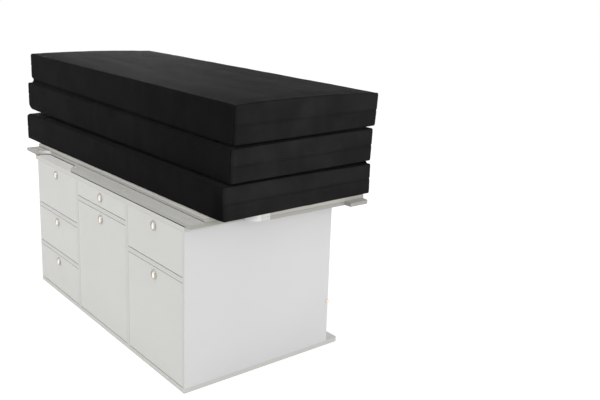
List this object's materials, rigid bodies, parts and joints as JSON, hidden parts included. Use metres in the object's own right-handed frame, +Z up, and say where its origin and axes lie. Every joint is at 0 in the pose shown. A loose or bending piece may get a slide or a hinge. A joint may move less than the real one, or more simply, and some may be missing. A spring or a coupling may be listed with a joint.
{
  "type": "camper van bed box",
  "caption": "Low drawer cabinet with push-lock fronts, carrying a thin pull-out deck board and a mattress folded in layers.",
  "frame": {"origin": "centre of the cabinet's footprint, on the floor under the base plate", "axes": "+Z up, the drawer fronts face -Y, +X along the cabinet to the right of a person facing the fronts"},
  "size_m": [1.494, 0.6649, 0.8989],
  "materials": {
    "cabinet_board": "white laminated board, satin",
    "deck_board": "light grey laminated board, matt",
    "drawer_board": "off-white drawer board, matt",
    "zinc_steel": "bright zinc plate",
    "brass_screw": "yellow zinc screw heads",
    "guide_plastic": "white low-friction plastic",
    "black_underlay": "thin black rubber sheet, matt",
    "lock_chrome": "satin chrome",
    "mattress_cloth": "black woven cover, matt"
  },
  "bodies": {
    "cabinet": {"base_plate": "cabinet_board", "side_panel_left": "cabinet_board", "side_panel_right": "cabinet_board", "divider_left": "cabinet_board", "divider_right": "cabinet_board", "back_panel": "cabinet_board", "top_panel": "cabinet_board", "rail_left_upper": "cabinet_board", "rail_left_lower": "cabinet_board", "rail_middle": "cabinet_board", "rail_right": "cabinet_board", "base_screws": "zinc_steel", "side_bolt": "brass_screw", "runner_channels": "zinc_steel", "strike_plates": "zinc_steel", "deck_underlay": "black_underlay", "deck_board_lower": "deck_board", "lower_deck_screws": "brass_screw", "deck_stops": "zinc_steel", "mattress_bottom": "mattress_cloth"},
    "pull_out_deck": {"deck_board_upper": "deck_board", "upper_deck_screws": "brass_screw", "deck_guides": "guide_plastic"},
    "mattress_middle_section": {"mattress_middle": "mattress_cloth"},
    "mattress_upper_section": {"mattress_top": "mattress_cloth"},
    "drawer_left_top": {"drawer_front_left_top": "cabinet_board", "drawer_box_left_top": "drawer_board", "drawer_slides_left_top": "zinc_steel", "lock_body_left_top": "lock_chrome"},
    "knob_left_top": {"lock_knob_left_top": "lock_chrome"},
    "drawer_left_middle": {"drawer_front_left_middle": "cabinet_board", "drawer_box_left_middle": "drawer_board", "drawer_slides_left_middle": "zinc_steel", "lock_body_left_middle": "lock_chrome"},
    "knob_left_middle": {"lock_knob_left_middle": "lock_chrome"},
    "drawer_left_bottom": {"drawer_front_left_bottom": "cabinet_board", "drawer_box_left_bottom": "drawer_board", "drawer_slides_left_bottom": "zinc_steel", "lock_body_left_bottom": "lock_chrome"},
    "knob_left_bottom": {"lock_knob_left_bottom": "lock_chrome"},
    "drawer_middle_top": {"drawer_front_middle_top": "cabinet_board", "drawer_box_middle_top": "drawer_board", "drawer_slides_middle_top": "zinc_steel", "lock_body_middle_top": "lock_chrome"},
    "knob_middle_top": {"lock_knob_middle_top": "lock_chrome"},
    "drawer_middle_tall": {"drawer_front_middle_tall": "cabinet_board", "drawer_box_middle_tall": "drawer_board", "drawer_slides_middle_tall": "zinc_steel", "lock_body_middle_tall": "lock_chrome"},
    "knob_middle_tall": {"lock_knob_middle_tall": "lock_chrome"},
    "drawer_right_top": {"drawer_front_right_top": "cabinet_board", "drawer_box_right_top": "drawer_board", "drawer_slides_right_top": "zinc_steel", "lock_body_right_top": "lock_chrome"},
    "knob_right_top": {"lock_knob_right_top": "lock_chrome"},
    "drawer_right_tall": {"drawer_front_right_tall": "cabinet_board", "drawer_box_right_tall": "drawer_board", "drawer_slides_right_tall": "zinc_steel", "lock_body_right_tall": "lock_chrome"},
    "knob_right_tall": {"lock_knob_right_tall": "lock_chrome"}
  },
  "joints": [
    {"name": "deck_pull_out", "type": "slide", "parent": "cabinet", "child": "pull_out_deck", "axis": [0, 1, 0], "range_m": [0, 0.5]},
    {"name": "mattress_unfold", "type": "hinge", "parent": "cabinet", "child": "mattress_middle_section", "pos_m": [0.63346, 0.3769, 0.648], "axis": [-0.9998, -0.0183, 0.0086], "range_deg": [0, 180]},
    {"name": "mattress_top_level", "type": "hinge", "parent": "mattress_middle_section", "child": "mattress_upper_section", "pos_m": [0.64385, -0.19, 0.745], "axis": [-0.9996, -0.0183, 0.02], "range_deg": [-180, 0]},
    {"name": "drawer_slide_left_top", "type": "slide", "parent": "cabinet", "child": "drawer_left_top", "axis": [0, -1, 0], "range_m": [0, 0.4]},
    {"name": "knob_press_left_top", "type": "slide", "parent": "drawer_left_top", "child": "knob_left_top", "axis": [0, -1, 0], "range_m": [0, 0.009]},
    {"name": "drawer_slide_left_middle", "type": "slide", "parent": "cabinet", "child": "drawer_left_middle", "axis": [0, -1, 0], "range_m": [0, 0.4]},
    {"name": "knob_press_left_middle", "type": "slide", "parent": "drawer_left_middle", "child": "knob_left_middle", "axis": [0, -1, 0], "range_m": [0, 0.009]},
    {"name": "drawer_slide_left_bottom", "type": "slide", "parent": "cabinet", "child": "drawer_left_bottom", "axis": [0, -1, 0], "range_m": [0, 0.4]},
    {"name": "knob_press_left_bottom", "type": "slide", "parent": "drawer_left_bottom", "child": "knob_left_bottom", "axis": [0, -1, 0], "range_m": [0, 0.009]},
    {"name": "drawer_slide_middle_top", "type": "slide", "parent": "cabinet", "child": "drawer_middle_top", "axis": [0, -1, 0], "range_m": [0, 0.4]},
    {"name": "knob_press_middle_top", "type": "slide", "parent": "drawer_middle_top", "child": "knob_middle_top", "axis": [0, -1, 0], "range_m": [0, 0.009]},
    {"name": "drawer_slide_middle_tall", "type": "slide", "parent": "cabinet", "child": "drawer_middle_tall", "axis": [0, -1, 0], "range_m": [0, 0.4]},
    {"name": "knob_press_middle_tall", "type": "slide", "parent": "drawer_middle_tall", "child": "knob_middle_tall", "axis": [0, -1, 0], "range_m": [0, 0.009]},
    {"name": "drawer_slide_right_top", "type": "slide", "parent": "cabinet", "child": "drawer_right_top", "axis": [0, -1, 0], "range_m": [0, 0.4]},
    {"name": "knob_press_right_top", "type": "slide", "parent": "drawer_right_top", "child": "knob_right_top", "axis": [0, -1, 0], "range_m": [0, 0.009]},
    {"name": "drawer_slide_right_tall", "type": "slide", "parent": "cabinet", "child": "drawer_right_tall", "axis": [0, -1, 0], "range_m": [0, 0.4]},
    {"name": "knob_press_right_tall", "type": "slide", "parent": "drawer_right_tall", "child": "knob_right_tall", "axis": [0, -1, 0], "range_m": [0, 0.009]}
  ],
  "couplings": [
    {"joint": "mattress_top_level", "follows": "mattress_unfold", "ratio": -1}
  ]
}
